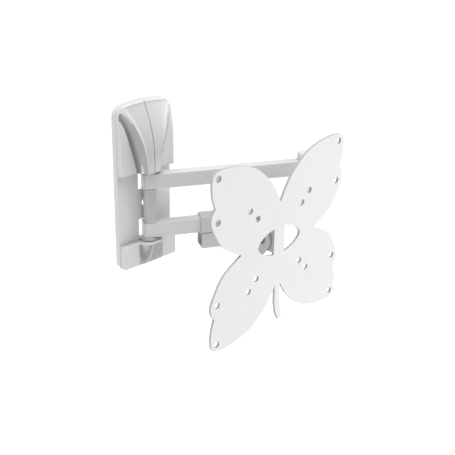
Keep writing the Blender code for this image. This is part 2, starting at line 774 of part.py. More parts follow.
def make_head(shop, steel):
    """The bracket that swivels on the second arm and carries the tilt bolt, with its pin."""
    high = -LINK_DROP + LINK_TALL / 2 + GAP
    low = high - LINK_TALL - 2 * GAP
    web_back = HEAD_WEB_FRONT - HEAD_SHEET
    foot, top = low - HEAD_SHEET, EAR_RADIUS
    web = box_mesh("head_bracket", (-EAR_OUTER, -HEAD_WEB_FRONT, foot), (EAR_OUTER, -web_back, top))
    head = shop.place("head_bracket", web, steel)
    for label, start, end in (("top", high, high + HEAD_SHEET), ("foot", foot, low)):
        tab = arc((0, 0), HEAD_TAB_RADIUS, 0, 180, 12)
        tab += [(-HEAD_TAB_RADIUS, -HEAD_WEB_FRONT + MM), (HEAD_TAB_RADIUS, -HEAD_WEB_FRONT + MM)]
        join(head, shop.cutter(f"head_{label}_tab", prism_mesh(f"head_{label}_tab", tab, start, end)))
    for side, label in ((-1, "left"), (1, "right")):
        start, end = sorted((side * EAR_INNER, side * EAR_OUTER))
        ear = arc((-TILT_FROM_SWIVEL, 0), EAR_RADIUS, 90, 180 + EAR_TAPER, 10)
        slope = math.radians(EAR_TAPER)
        start_y, start_z = ear[-1]
        ear += [(start_y + (start_z - foot) * math.tan(slope), foot), (-web_back - MM, foot)]
        ear += [(-web_back - MM, EAR_RADIUS)]
        join(head, shop.cutter(f"head_{label}_ear", prism_mesh(f"head_{label}_ear", ear, start, end, "X")))
    pin = [((0, 0, 2 * foot), (0, 0, 2 * top))]
    cut(head, shop.cutter("head_pin_bore", rods_mesh("head_pin_bore", PIN_BORE, pin)))
    tilt = [((-2 * EAR_OUTER, -TILT_FROM_SWIVEL, 0), (2 * EAR_OUTER, -TILT_FROM_SWIVEL, 0))]
    cut(head, shop.cutter("head_tilt_bore", rods_mesh("head_tilt_bore", PIN_BORE, tilt)))
    head_top = high + HEAD_SHEET + GAP
    nut_top = foot - GAP
    pin_profile = bolt(PIN_RADIUS, HEAD_RADIUS, head_top + HEAD_TALL, HEAD_TALL, nut_top - NUT_TALL - 1 * MM)
    turned(shop, "swivel_pin", ZINC, pin_profile, (0, 0, 0))
    make_nut(shop, "swivel_nut", (0, 0, 0), nut_top)


def make_tilt_hardware(shop):
    """The tilt bolt across both ears, with its nut and friction washers. It stays with the head."""
    axis = (0, -TILT_FROM_SWIVEL, 0)
    socket = [
        (0, -EAR_OUTER - GAP - 1 * MM),
        (2.2 * MM, -EAR_OUTER - GAP - 0.8 * MM),
        (2.2 * MM, -EAR_OUTER - GAP - 2.4 * MM),
        (4.2 * MM, -EAR_OUTER - GAP - 2.4 * MM),
        (6.4 * MM, -EAR_OUTER - GAP - 1 * MM),
        (6.4 * MM, -EAR_OUTER - GAP),
        (PIN_RADIUS, -EAR_OUTER - GAP),
        (PIN_RADIUS, EAR_OUTER + GAP + NUT_TALL + 0.4 * MM),
        (0, EAR_OUTER + GAP + NUT_TALL + 0.4 * MM),
    ]
    turned(shop, "tilt_bolt", DARK, socket[::-1], axis, axis="X")
    make_nut(shop, "tilt_nut", axis, EAR_OUTER + GAP + NUT_TALL, "X")
    for side, label in ((-1, "left"), (1, "right")):
        low, high = sorted((side * (EAR_INNER - GAP), side * (CUTOUT_EDGE + GAP)))
        washer = ring(WASHER_RADIUS, PIN_BORE, low, high)
        turned(shop, f"{label}_tilt_washer", NYLON, washer, axis, closed=True, axis="X")


def butterfly_outline():
    quarter = smooth_path(UPPER_LOBE, 3) + smooth_path(SIDE_LOBE, 3)
    quarter = [(x * MM, z * MM) for x, z in quarter]
    waist = (SIDE_LOBE[-1][0] * MM, 0)
    upper_right = quarter
    lower_right = [waist] + [(x, -z) for x, z in reversed(quarter[1:])]
    lower_left = [(-x, -z) for x, z in quarter]
    upper_left = [(-waist[0], 0)] + [(-x, z) for x, z in reversed(quarter[1:])]
    return (upper_right + lower_right + lower_left + upper_left)[::-1]


def half_round(reach, half, side, start, power=CUTOUT_POWER):
    """A superellipse half from start outwards along the first axis: the cut-outs and the tabs."""
    made = []
    steps = 12
    for i in range(steps + 1):
        angle = math.pi * (i / steps - 0.5)
        out = abs(math.cos(angle)) ** (2 / power)
        up = math.copysign(abs(math.sin(angle)) ** (2 / power), angle)
        made.append((side * (start + reach * out), half * up))
    return made


def tongue_mesh(name, front):
    """The grip tongue: a strip that leaves the plate's lower notch and curves towards the viewer."""
    rows, columns = 10, 2
    bm = bmesh.new()
    bmesh.ops.create_grid(bm, x_segments=columns, y_segments=rows, size=1)
    for vertex in bm.verts:
        across = vertex.co.x
        down = (1 - vertex.co.y) / 2
        z = TONGUE_TOP + down * (TONGUE_END - TONGUE_TOP)
        past = max(0, (TONGUE_BEND - z) / (TONGUE_BEND - TONGUE_END))
        tip = max(0, (z - TONGUE_END) / (5 * MM))
        half = TONGUE_HALF_WIDTH * (0.55 + 0.45 * math.sqrt(1 - (1 - min(tip, 1)) ** 2))
        vertex.co = (across * half, front - TONGUE_LIFT * past**1.8, z)
    bmesh.ops.recalc_face_normals(bm, faces=bm.faces)
    if next(iter(bm.faces)).normal.y > 0:
        bmesh.ops.reverse_faces(bm, faces=bm.faces)
    data = bpy.data.meshes.new(name)
    bm.to_mesh(data)
    bm.free()
    return data


def make_vesa_plate(shop, steel):
    """The butterfly plate with its holes, the ears bent back from its cut-outs, and its tongue."""
    front = -PLATE_FROM_TILT
    back = front + VESA_SHEET
    plate = shop.place("vesa_plate", prism_mesh("vesa_plate", butterfly_outline(), front, back, "Y"), steel)
    tongue = shop.cutter("plate_tongue", tongue_mesh("plate_tongue", front))
    join(plate, shell(tongue, VESA_SHEET))
    through = back + 40 * MM
    for side, label in ((-1, "left"), (1, "right")):
        cutout = half_round(CUTOUT_REACH, CUTOUT_HALF, side, CUTOUT_EDGE)
        cutout_mesh = prism_mesh(f"{label}_cutout", cutout, 2 * front, through, "Y")
        cut(plate, shop.cutter(f"{label}_cutout", cutout_mesh))
        tab = half_round(TAB_REACH, TAB_HALF, 1, front, TAB_POWER)
        start, end = sorted((side * (CUTOUT_EDGE - TAB_SHEET), side * CUTOUT_EDGE))
        join(plate, shop.cutter(f"{label}_plate_ear", prism_mesh(f"{label}_plate_ear", tab, start, end, "X")))
    holes = [
        ((sx * x * MM, 2 * front, sz * z * MM), (sx * x * MM, 0, sz * z * MM))
        for x, z in VESA_HOLES
        for sx in (1, -1)
        for sz in (1, -1)
    ]
    cut(plate, shop.cutter("vesa_holes", rods_mesh("vesa_holes", VESA_HOLE_RADIUS, holes)))
    tilt = [((-2 * EAR_OUTER, 0, 0), (2 * EAR_OUTER, 0, 0))]
    cut(plate, shop.cutter("plate_tilt_bore", rods_mesh("plate_tilt_bore", PIN_BORE, tilt)))
    half = CUTOUT_EDGE - TAB_SHEET - GAP
    spacer = ring(SPACER_RADIUS, PIN_BORE, -half, half)
    turned(shop, "tilt_spacer", ZINC, spacer, (0, 0, 0), closed=True, axis="X")


WHITE_STEEL = ((0.80, 0.80, 0.80), 0.45, 0.0)
PLASTIC = ((0.74, 0.74, 0.74), 0.5, 0.0)
ZINC = ((0.62, 0.62, 0.63), 0.35, 0.9)
DARK = ((0.15, 0.15, 0.15), 0.4, 0.4)
NYLON = ((0.86, 0.86, 0.83), 0.55, 0.0)


def build():
    clear_scene()
    shop = Workshop(new_collection("tv_wall_mount"), new_collection("cutters"))
    shop.cutters.hide_render = True

    make_wall_plate(shop, WHITE_STEEL)
    for side, label in ((1, "upper"), (-1, "lower")):
        make_hinge_bracket(shop, f"{label}_hinge_bracket", side, WHITE_STEEL)
        make_rivets(shop, side, label, ZINC)
    make_covers(shop, PLASTIC)
    make_wall_pin(shop, ZINC)

    wall_pivot = PIVOT + Vector((0, 0, ARM_Z))
    elbow = wall_pivot + FIRST_ARM * Vector((math.cos(ARM_ANGLE), -math.sin(ARM_ANGLE), 0))
    swivel = elbow - SECOND_ARM * Vector((math.cos(SECOND_ANGLE), math.sin(SECOND_ANGLE), 0))
    tilt = swivel - Vector((0, TILT_FROM_SWIVEL, 0))

    shop.parent = pivot_empty("wall_swivel_axis", wall_pivot, -ARM_ANGLE, shop.parts)
    make_first_arm(shop, WHITE_STEEL)
    shop.parent = pivot_empty("elbow_axis", elbow, math.pi + SECOND_ANGLE, shop.parts)
    make_second_arm(shop, WHITE_STEEL)
    shop.parent = pivot_empty("head_swivel_axis", swivel, 0, shop.parts)
    make_head(shop, WHITE_STEEL)
    make_tilt_hardware(shop)
    shop.parent = pivot_empty("tilt_axis", tilt, 0, shop.parts)
    make_vesa_plate(shop, WHITE_STEEL)


build()
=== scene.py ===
"""Full motion wall mount for a flat screen: finishes, fine surfaces, lights and camera on the CAD frame."""

import json
import math

import bmesh
import bpy
import numpy as np
from mathutils import Matrix, Vector


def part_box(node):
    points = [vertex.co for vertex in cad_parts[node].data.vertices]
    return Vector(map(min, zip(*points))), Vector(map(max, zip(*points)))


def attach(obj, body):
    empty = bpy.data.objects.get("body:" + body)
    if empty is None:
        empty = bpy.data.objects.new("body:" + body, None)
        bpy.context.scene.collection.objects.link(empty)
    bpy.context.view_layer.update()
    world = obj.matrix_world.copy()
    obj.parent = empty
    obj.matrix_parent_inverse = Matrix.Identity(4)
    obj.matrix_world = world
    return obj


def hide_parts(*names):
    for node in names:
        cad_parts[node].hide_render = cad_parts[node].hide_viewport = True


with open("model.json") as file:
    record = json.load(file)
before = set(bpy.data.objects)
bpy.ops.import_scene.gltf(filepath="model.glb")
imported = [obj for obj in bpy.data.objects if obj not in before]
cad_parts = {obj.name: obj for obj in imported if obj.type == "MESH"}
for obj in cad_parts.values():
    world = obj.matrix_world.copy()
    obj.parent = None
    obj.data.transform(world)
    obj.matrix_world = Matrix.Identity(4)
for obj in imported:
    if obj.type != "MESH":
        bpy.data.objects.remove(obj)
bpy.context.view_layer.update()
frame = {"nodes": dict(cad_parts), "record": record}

MM = 0.001

# The wall unit's outline and the covers' ends, from the frame.
WALL_LOW, WALL_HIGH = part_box("wall_plate")
HALF_WIDTH, PLATE_TOP, PLATE_FOOT = WALL_HIGH[0], WALL_HIGH[2], WALL_LOW[2]
HOOD_LOW, HOOD_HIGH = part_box("upper_cover")
HOOD_FOOT, COVER_BACK = HOOD_LOW[2], -HOOD_HIGH[1]
LOWER_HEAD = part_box("lower_cover")[1][2]

# The top edge's curves and the covers' depths, in the same sizes as the CAD ones.
SHOULDER = 90 * MM
ARCH_HALF_WIDTH = 30 * MM
ARCH_RADIUS = 162 * MM
COVER_FLAT = 17 * MM
LOWER_COVER_FLAT = 18.5 * MM
COVER_WALL = 1.8 * MM


# ---------------------------------------------------------------- finishes


def neutral(level, blue=0.005):
    """A grey of this level, with a trace more blue."""
    return (level, level, level + blue)


def shader_tree(name, colour, roughness, metallic=0.0):
    """A material whose Principled shader holds its constants, and its node tree."""
    made = bpy.data.materials.new(name)
    made.use_nodes = True
    tree = made.node_tree
    shader = tree.nodes["Principled BSDF"]
    shader.inputs["Base Color"].default_value = (*colour, 1)
    shader.inputs["Roughness"].default_value = roughness
    shader.inputs["Metallic"].default_value = metallic
    return made, tree, shader


def noise(tree, scale, detail):
    """Noise over the object's own coordinates, in metres."""
    where = tree.nodes.new("ShaderNodeTexCoord")
    made = tree.nodes.new("ShaderNodeTexNoise")
    made.inputs["Scale"].default_value = scale
    made.inputs["Detail"].default_value = detail
    tree.links.new(where.outputs["Object"], made.inputs["Vector"])
    return made.outputs["Fac"]


def ramp(tree, value, low, high):
    """Noise, which mostly lies between 0.3 and 0.7, carried to low..high."""
    made = tree.nodes.new("ShaderNodeMapRange")
    made.inputs["From Min"].default_value = 0.3
    made.inputs["From Max"].default_value = 0.7
    made.inputs["To Min"].default_value = low
    made.inputs["To Max"].default_value = high
    tree.links.new(value, made.inputs["Value"])
    return made.outputs["Result"]


def tint(tree, value, first, second):
    """A colour between first and second, by value."""
    made = tree.nodes.new("ShaderNodeMix")
    made.data_type = "RGBA"
    made.inputs["A"].default_value = (*first, 1)
    made.inputs["B"].default_value = (*second, 1)
    tree.links.new(value, made.inputs["Factor"])
    return made.outputs["Result"]


def bump(tree, shader, height, strength, distance):
    made = tree.nodes.new("ShaderNodeBump")
    made.inputs["Strength"].default_value = strength
    made.inputs["Distance"].default_value = distance
    tree.links.new(height, made.inputs["Height"])
    tree.links.new(made.outputs["Normal"], shader.inputs["Normal"])


def mottled(name, light, dark, rough, grain, metallic=0.0):
    """A finish whose colour and roughness drift over centimetres, under a fine grain of (scale, depth)."""
    made, tree, shader = shader_tree(name, light, sum(rough) / 2, metallic)
    grain_scale, grain_depth = grain
    drift = ramp(tree, noise(tree, scale=22, detail=3), 0, 1)
    patches = ramp(tree, noise(tree, scale=90, detail=4), *rough)
    tree.links.new(tint(tree, drift, light, dark), shader.inputs["Base Color"])
    tree.links.new(patches, shader.inputs["Roughness"])
    bump(tree, shader, noise(tree, grain_scale, detail=3), strength=0.25, distance=grain_depth)
    return made


def shaded_paint(name, dark, light, roughness, coat):
    """A paint between two colours, by the shade attribute that the covers store at every point."""
    made, tree, shader = shader_tree(name, light, roughness)
    shader.inputs["Coat Weight"].default_value = coat
    shader.inputs["Coat Roughness"].default_value = 0.12
    # The shade attribute brings the covers' painted shade and painted light into this paint's colour.
    shade = tree.nodes.new("ShaderNodeAttribute")
    shade.attribute_name = "shade"
    patches = ramp(tree, noise(tree, scale=120, detail=3), roughness - 0.05, roughness + 0.05)
    tree.links.new(tint(tree, shade.outputs["Fac"], dark, light), shader.inputs["Base Color"])
    tree.links.new(patches, shader.inputs["Roughness"])
    bump(tree, shader, noise(tree, scale=1500, detail=2), strength=0.15, distance=0.04 * MM)
    return made


# Roughness from the smoothest patch to the roughest, and grain as (scale, depth).
SATIN = (0.38, 0.5)
MOULDED = (0.42, 0.52)
ORANGE_PEEL = (900, 0.12 * MM)
MOULD_TEXTURE = (1600, 0.06 * MM)

POWDER_COAT = mottled(
    "satin_white_powder_coat", neutral(0.785, 0.01), neutral(0.77, 0.01), SATIN, ORANGE_PEEL
)
# Painted shade: a darker copy of the white coat for the arm's bars and barrels, which lie in shade behind the
# plate.
SHADED_ARM_COAT = mottled("arm_coat_painted_shade", neutral(0.60), neutral(0.58), SATIN, ORANGE_PEEL)
# Painted shade: a darker copy of the white coat for the wall plate, standing for the shade in its recess
# between the covers.
SHADED_WALL_COAT = mottled("wall_coat_painted_shade", neutral(0.64), neutral(0.62), SATIN, ORANGE_PEEL)
# Painted shade: a darker copy of the white coat for the hinge brackets, the knuckle and the head bracket,
# which sit in shade.
SHADED_BRACKET_COAT = mottled("bracket_coat_painted_shade", neutral(0.46), neutral(0.44), SATIN, ORANGE_PEEL)
# Painted shade: a darker coat on the plate's cut edges and hole walls, which stand for edges seen in shade.
SHADED_CUT_EDGE = mottled("cut_edge_painted_shade", neutral(0.43), neutral(0.41), (0.45, 0.55), ORANGE_PEEL)
COVER_PLASTIC = mottled(
    "fine_textured_white_plastic", neutral(0.63, 0.007), neutral(0.61, 0.007), MOULDED, MOULD_TEXTURE
)
# Painted shade: a darker copy of the cover plastic for the clip, which darkens its faces and its shaded open
# end.
SHADED_CLIP_PLASTIC = mottled("clip_plastic_painted_shade", neutral(0.50), neutral(0.48), MOULDED, MOULD_TEXTURE)
# The ribbed plastic and the silver-grey gloss take their colour from the shade attribute, which holds painted
# shade, a painted highlight and painted reflection besides the paints' own tones.
RIBBED_PLASTIC = shaded_paint(
    "ribbed_white_plastic", neutral(0.10, 0), neutral(0.68), roughness=0.45, coat=0.0
)
SILVER_GREY = shaded_paint("silver_grey_gloss", neutral(0.10), neutral(0.72), roughness=0.31, coat=0.4)
BRIGHT_ZINC = mottled(
    "bright_zinc", neutral(0.62, 0.01), neutral(0.55, 0.01), (0.24, 0.4), (700, 0.05 * MM), metallic=1.0
)
DARK_PHOSPHATE = mottled(
    "dark_phosphate", neutral(0.17), neutral(0.14), (0.35, 0.48), (800, 0.05 * MM), metallic=0.4
)
NATURAL_NYLON = mottled("natural_nylon", (0.82, 0.81, 0.77), (0.79, 0.78, 0.74), (0.4, 0.5), (500, 0.04 * MM))


# ---------------------------------------------------------------- mesh helpers

# The angles past which an edge shows as a crease or is rounded, and below which two faces are one.
CREASE = math.radians(34)
ROUNDED_ANGLE = math.radians(40)
SAME_PLANE = math.radians(1)
# How near two points are merged.
TURNED_MERGE = 0.002 * MM
CAD_MERGE = 0.005 * MM
# A face is a cut edge where its normal's Y is below this.
EDGE_ON = 0.5


def add_piece(name, data, body, finish, node):
    """One piece at the origin, with its place in its mesh, riding on a body in place of a CAD node."""
    thing = bpy.data.objects.new(name, data)
    bpy.context.scene.collection.objects.link(thing)
    data.materials.append(finish)
    data.shade_smooth()
    data.set_sharp_from_angle(angle=CREASE)
    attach(thing, body)
    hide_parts(node)
    return thing


def grid_data(name, points, wrap=False):
    """A mesh from an array of rows x columns x 3.

    Its quads join each row to the next and, where it wraps, the last column to the first.
    """
    rows, columns = points.shape[:2]
    index = np.arange(rows * columns).reshape(rows, columns)
    if wrap:
        index = np.concatenate([index, index[:, :1]], axis=1)
    quads = np.stack([index[:-1, :-1], index[:-1, 1:], index[1:, 1:], index[1:, :-1]], axis=-1)
    data = bpy.data.meshes.new(name)
    data.from_pydata(points.reshape(-1, 3).tolist(), [], quads.reshape(-1, 4).tolist())
    return data


def turned_data(name, profile, centre, steps=72):
    """A lathe surface: each (radius, height) of the profile, carried round a vertical axis through centre."""
    radius, height = np.array(profile, float).T
    angle = np.linspace(0, 2 * np.pi, steps, endpoint=False)
    x = centre[0] + radius[:, None] * np.cos(angle)
    y = centre[1] + radius[:, None] * np.sin(angle)
    z = centre[2] + np.repeat(height[:, None], steps, axis=1)
    data = grid_data(name, np.stack([x, y, z], axis=-1), wrap=True)
    bm = bmesh.new()
    bm.from_mesh(data)
    bmesh.ops.remove_doubles(bm, verts=bm.verts, dist=TURNED_MERGE)
    bmesh.ops.recalc_face_normals(bm, faces=bm.faces)
    bm.to_mesh(data)
    bm.free()
    return data


def softened(node, body, finish, width):
    """The CAD node's own shape with its doubles merged and its sharp edges rounded by width."""
    bm = bmesh.new()
    bm.from_mesh(frame["nodes"][node].data)
    bmesh.ops.remove_doubles(bm, verts=bm.verts, dist=CAD_MERGE)
    bmesh.ops.dissolve_limit(bm, angle_limit=SAME_PLANE, verts=bm.verts, edges=bm.edges)
    data = bpy.data.meshes.new(node + "_finished")
    bm.to_mesh(data)
    bm.free()
    thing = add_piece(node + "_finished", data, body, finish, node)
    edges = thing.modifiers.new("rounded_edges", "BEVEL")
    edges.width = width
    edges.segments = 3
    edges.limit_method = "ANGLE"
    edges.angle_limit = ROUNDED_ANGLE
    edges.use_clamp_overlap = True
    return thing


def darker_edges(thing):
    """The second finish on the cut edges of a sheet, which are the faces that don't look along Y."""
    data = thing.data
    # The cut edges take this painted shade.
    data.materials.append(SHADED_CUT_EDGE)
    normals = np.empty(len(data.polygons) * 3, np.float32)
    data.polygons.foreach_get("normal", normals)
    edges = np.abs(normals.reshape(-1, 3)[:, 1]) < EDGE_ON
    data.polygons.foreach_set("material_index", edges.astype(np.int32))


# ---------------------------------------------------------------- curves of the covers


def smooth(value, low, high):
    """0 at low, 1 at high and a cubic step between, held beyond both. It falls where low is above high."""
    t = np.clip((value - low) / (high - low), 0, 1)
    return t * t * (3 - 2 * t)


def gaussian(value, middle, width):
    """A ridge of height 1 at middle, down to 1/e at width on either side."""
    return np.exp(-(((value - middle) / width) ** 2))


def climb(z, start, span, power):
    """0 up to start, then the height climbed since, as a share of span, to a power."""
    return (np.clip(z - start, 0, None) / span) ** power


def edge_rounding(distance, radius, power=3.2):
    """0 at an edge and 1 inside it, along a squarish superellipse radius wide."""
    t = 1 - np.clip(distance / radius, 0, 1)
    return (1 - t**power) ** (1 / power)


def plate_top(x):
    """Height of the top edge: a shallow parabola over the middle, then an elliptical shoulder to the side."""
    x = np.abs(x)
    shoulder_top = PLATE_TOP - ARCH_HALF_WIDTH**2 / (2 * ARCH_RADIUS)
    across = np.clip((x - ARCH_HALF_WIDTH) / (HALF_WIDTH - ARCH_HALF_WIDTH), 0, 1)
    shoulder = SHOULDER + (shoulder_top - SHOULDER) * np.sqrt(1 - across**2)
    return np.where(x <= ARCH_HALF_WIDTH, PLATE_TOP - x**2 / (2 * ARCH_RADIUS), shoulder)


def level_head(x):
    """Height of the lower cover's top edge, the same at every x."""
    return LOWER_HEAD + 0 * x


def stations(fan_steps, side_steps, flat_steps, crowding=2.2):
    """Column stations from -3 to 3: 0 to 1 spans the fan, 1 to 2 its side, and 2 to 3 the flat.

    The flat's stations crowd towards its outer edge by a power.
    """
    fan = np.linspace(0, 1, fan_steps)
    side = 1 + np.linspace(0, 1, side_steps)[1:]
    flat = 3 - (1 - np.linspace(0, 1, flat_steps)[1:]) ** crowding
    half = np.concatenate([fan, side, flat])
    return np.concatenate([-half[:0:-1], half])


def spread(station, fan, base):
    """The x of a station: linear across the fan, across its side, and across the flat."""
    s = np.abs(station)
    on_side = fan + (s - 1) * (base - fan)
    on_flat = base + (s - 2) * (HALF_WIDTH - base)
    return np.sign(station) * np.where(s <= 1, s * fan, np.where(s <= 2, on_side, on_flat))


# ---------------------------------------------------------------- covers

# A cover's finishes, numbered in the order of its materials.
PLAIN, RIBBED, SILVER = 0, 1, 2

FAN_CROWN = 0.6 * MM
HOLLOW_POWER = 1.6
ROLLED_FROM, ROLLED_UP_TO = 0.12, 0.42


def cover_surface(name, z_nominal, section, foot, top_edge, relief, rims):
    """A cover's outer face over stations across and rows up, with its shade stored at every point.

    Its depth is the ridge inside the fan, less a slight crown. Outside the fan it falls to the flat,
    along a concave curve high up and along half a cosine low down. relief adds the ribs and grooves
    and says which faces are painted. A superellipse rounds the rims at the foot, the top and the sides
    back to the wall plate, where a rim of 0 stays square.
    """
    station = stations(fan_steps=46, side_steps=34, flat_steps=16)[None, :]
    up = ((z_nominal - foot) / (top_edge(0.0) - foot))[:, None]
    fan, base, ridge, flat = (value[:, None] for value in section)
    x = spread(station, fan, base)
    z = foot + up * (top_edge(x) - foot)
    s = np.abs(station)

    fall = np.clip(s - 1, 0, 1)
    hollow, rolled = (1 - fall) ** HOLLOW_POWER, 0.5 + 0.5 * np.cos(np.pi * fall)
    drop = hollow + (rolled - hollow) * smooth(up, ROLLED_UP_TO, ROLLED_FROM)
    depth = np.where(s <= 1, ridge - FAN_CROWN * s**2, flat + (ridge - FAN_CROWN - flat) * drop)
    carved, shade, finish = relief(x, z, s, up)

    low, high, sides = rims
    inside = edge_rounding(HALF_WIDTH - np.abs(x), sides)
    if high:
        inside = inside * edge_rounding(top_edge(x) - z, high)
    if low:
        inside = inside * edge_rounding(z - foot, low)
    depth = COVER_BACK + (depth + carved - COVER_BACK) * inside

    data = grid_data(name, np.stack([x, -depth, z], axis=-1))
    stored = data.attributes.new("shade", "FLOAT", "POINT")
    stored.data.foreach_set("value", shade.ravel().astype(np.float32))
    return data, finish


def finish_cover(name, surface, node):
    """The cover's piece, with its painted faces, and the moulded wall behind its face.

    A face takes the lowest of its four corners' finish numbers.
    """
    data, finish = surface
    lower_edge = np.minimum(finish[:-1, :-1], finish[:-1, 1:])
    upper_edge = np.minimum(finish[1:, :-1], finish[1:, 1:])
    faces = np.minimum(lower_edge, upper_edge).ravel().astype(np.int32)
    thing = add_piece(name, data, "wall", COVER_PLASTIC, node)
    data.materials.append(RIBBED_PLASTIC)
    data.materials.append(SILVER_GREY)
    data.polygons.foreach_set("material_index", faces)
    wall = thing.modifiers.new("moulded_wall", "SOLIDIFY")
    wall.thickness = COVER_WALL
    wall.offset = -1
    wall.use_even_offset = False


RIB_PITCH = 2.25 * MM
RIB_SLANT = 0.65
RIB_DEPTH = 0.3 * MM
RIB_MARGIN = 3.4 * MM
GROOVE_WIDTH = 0.4 * MM
SEAM_DEPTH = 0.8 * MM
BORDER_STATION = 0.98
BORDER_INSET = 3.2 * MM
BORDER_DEPTH = 0.25 * MM
BEAD_HEIGHT = 0.3 * MM
LEAF_INNER, LEAF_OUTER = 1.05, 2.0
LEAF_DEPTH = 0.5 * MM
NOSE_FOOT, NOSE_RISE = 84 * MM, 13 * MM
NOSE_STATION, NOSE_REACH = 1.62, 0.42
SLIVER_HEAD, SLIVER_TALL = 31 * MM, 13 * MM
SLIVER_STATION, SLIVER_WIDTH, SLIVER_SPREAD = 1.47, 0.012, 0.07


def hood_relief(x, z, s, up):
    """The hood's carving: slanting ribs on the fan, a seam down it, a bead along its edge and sunk leaves.

    The ribs are a cosine of height plus a share of x. The seam, the border inside the fan's edge and
    the bead are Gaussian ridges across x or the station. A leaf is the band beside the fan, ended above
    by half an ellipse over the station. Its sliver is a painted highlight, a bright Gaussian ridge of shade
    only, that widens downwards.
    """
    below = plate_top(x) - z
    ribs = 0.5 + 0.5 * np.cos(2 * np.pi * (z + RIB_SLANT * x) / RIB_PITCH)
    within = smooth(s, 1, 0.955) * smooth(below, 1.0 * MM, 1.8 * MM)
    fade = smooth(up, 0.02, 0.3) * smooth(s, 1.0, 0.8)
    ribbed = ribs * within * fade * (below > RIB_MARGIN)

    seam = gaussian(x, 0, GROOVE_WIDTH)
    side_border = gaussian(s, BORDER_STATION, 0.014) * (x > 0)
    top_border = gaussian(below, BORDER_INSET, GROOVE_WIDTH) * (s < BORDER_STATION)
    border = np.clip(side_border + top_border, 0, 1)
    bead = gaussian(s, 1.02, 0.04) * smooth(up, 0.2, 0.45)

    nose = NOSE_FOOT + NOSE_RISE * np.sqrt(np.clip(1 - ((s - NOSE_STATION) / NOSE_REACH) ** 2, 0, 1))
    leaf = (s > LEAF_INNER) & (s < LEAF_OUTER) & (z < nose)
    sunk = smooth(s, LEAF_INNER, 1.16) * smooth(s, LEAF_OUTER, 1.9) * smooth(nose - z, 0, 5 * MM)
    sliver_width = SLIVER_WIDTH + SLIVER_SPREAD * np.clip((SLIVER_HEAD - z) / SLIVER_TALL, 0, 1)
    sliver = gaussian(s, SLIVER_STATION, sliver_width) * (z < SLIVER_HEAD)

    grooves = RIB_DEPTH * ribbed + SEAM_DEPTH * seam + BORDER_DEPTH * border
    carved = BEAD_HEIGHT * bead - grooves - LEAF_DEPTH * sunk
    # Painted shade and painted light on the leaf: darkest along its outer edge and foot, lighter towards
    # the fan and the top, and paler on the right, where the light falls; its sliver adds a painted highlight.
    on_leaf = 0.11 + 0.35 * smooth(s, 1.8, 1.4) + 0.1 * smooth(up, 0.5, 0.9) + 0.9 * sliver + 0.5 * (x > 0)
    # Painted shade on the fan: it is painted darker towards its foot, and dark in the grooves of its
    # ribs, seam and border.
    on_fan = (0.84 + 0.16 * smooth(up, 0.1, 0.9)) * (1 - 0.42 * ribbed) - 0.5 * np.maximum(seam, 0.8 * border)
    shade = np.clip(np.where(leaf, on_leaf, on_fan), 0, 1)
    return carved, shade, np.where(leaf, SILVER, np.where(s < 1.04, RIBBED, PLAIN))


def make_hood():
    """The hood over the upper bracket.

    The half width of the fan, and that of the foot of its sides, grow as powers of the height. Towards
    the top the ridge falls by a power and the flat by a square, and the ridge is never below the flat.
    The rows are closer where the top rim is rounded.
    """
    rim_start = 100 * MM
    z = np.concatenate([np.linspace(HOOD_FOOT, rim_start, 216), np.linspace(rim_start, PLATE_TOP, 30)[1:]])
    fan = 10 * MM + 23 * MM * climb(z, start=HOOD_FOOT, span=87 * MM, power=1.9)
    base = 19.5 * MM + 22 * MM * climb(z, start=22 * MM, span=76 * MM, power=1.05)
    base = np.minimum(base, 41.4 * MM)
    flat = COVER_FLAT - 6.6 * MM * climb(z, start=60 * MM, span=47 * MM, power=2)
    ridge = 29.2 * MM - 19 * MM * climb(z, start=40 * MM, span=65 * MM, power=1.9)
    section = fan, base, np.maximum(ridge, flat), flat
    name = "upper_cover_hood"
    rims = 0, 2.4 * MM, 1.6 * MM
    surface = cover_surface(name, z, section, HOOD_FOOT, plate_top, hood_relief, rims)
    finish_cover(name, surface, "upper_cover")


PANEL_HALF_WIDTH = 19.6 * MM
FOLD_X, FOLD_WIDTH, FOLD_DROP = -13 * MM, 4.2 * MM, 17 * MM
FIRST_LINE, LINE_PITCH, LINE_SHARPNESS = 3.1, 1.25, 5


def flute_relief(x, z, *_):
    """The draped panel: nested U-shaped folds round a point at the top left.

    away is the elliptical distance from that point. The inner folds are Gaussian rings of it, and the
    outer ones a cosine raised to a power, which leaves thin dark lines. The folds' light and dark colour,
    these lines too, is painted reflection and painted shade on the silver-grey paint.
    """
    below = LOWER_HEAD - z
    away = np.sqrt(((x - FOLD_X) / FOLD_WIDTH) ** 2 + (below / FOLD_DROP) ** 2)
    core = gaussian(away, 0, 0.45)
    ring = gaussian(away, 1.15, 0.45)
    rise = gaussian(away, 2.1, 0.4)
    waves = 0.5 + 0.5 * np.cos(2 * np.pi * (away - FIRST_LINE) / LINE_PITCH)
    lines = waves**LINE_SHARPNESS * smooth(away, 2.5, 3.0)
    panel = (np.abs(x) < PANEL_HALF_WIDTH) & (below > 1.2 * MM)
    inside = smooth(PANEL_HALF_WIDTH - np.abs(x), 0, 0.8 * MM) * smooth(below, 1.2 * MM, 2.2 * MM)
    carved = -(0.3 + 0.6 * ring + 0.45 * lines - 0.2 * rise) * MM * inside
    # Painted reflection and painted shade: a light core, a darker ring, a lighter rise and thin dark lines in
    # the grooves.
    shade = 0.38 + 0.34 * core - 0.18 * ring + 0.14 * rise - 0.22 * lines
    return carved, np.clip(shade, 0, 1), np.where(panel, SILVER, PLAIN)


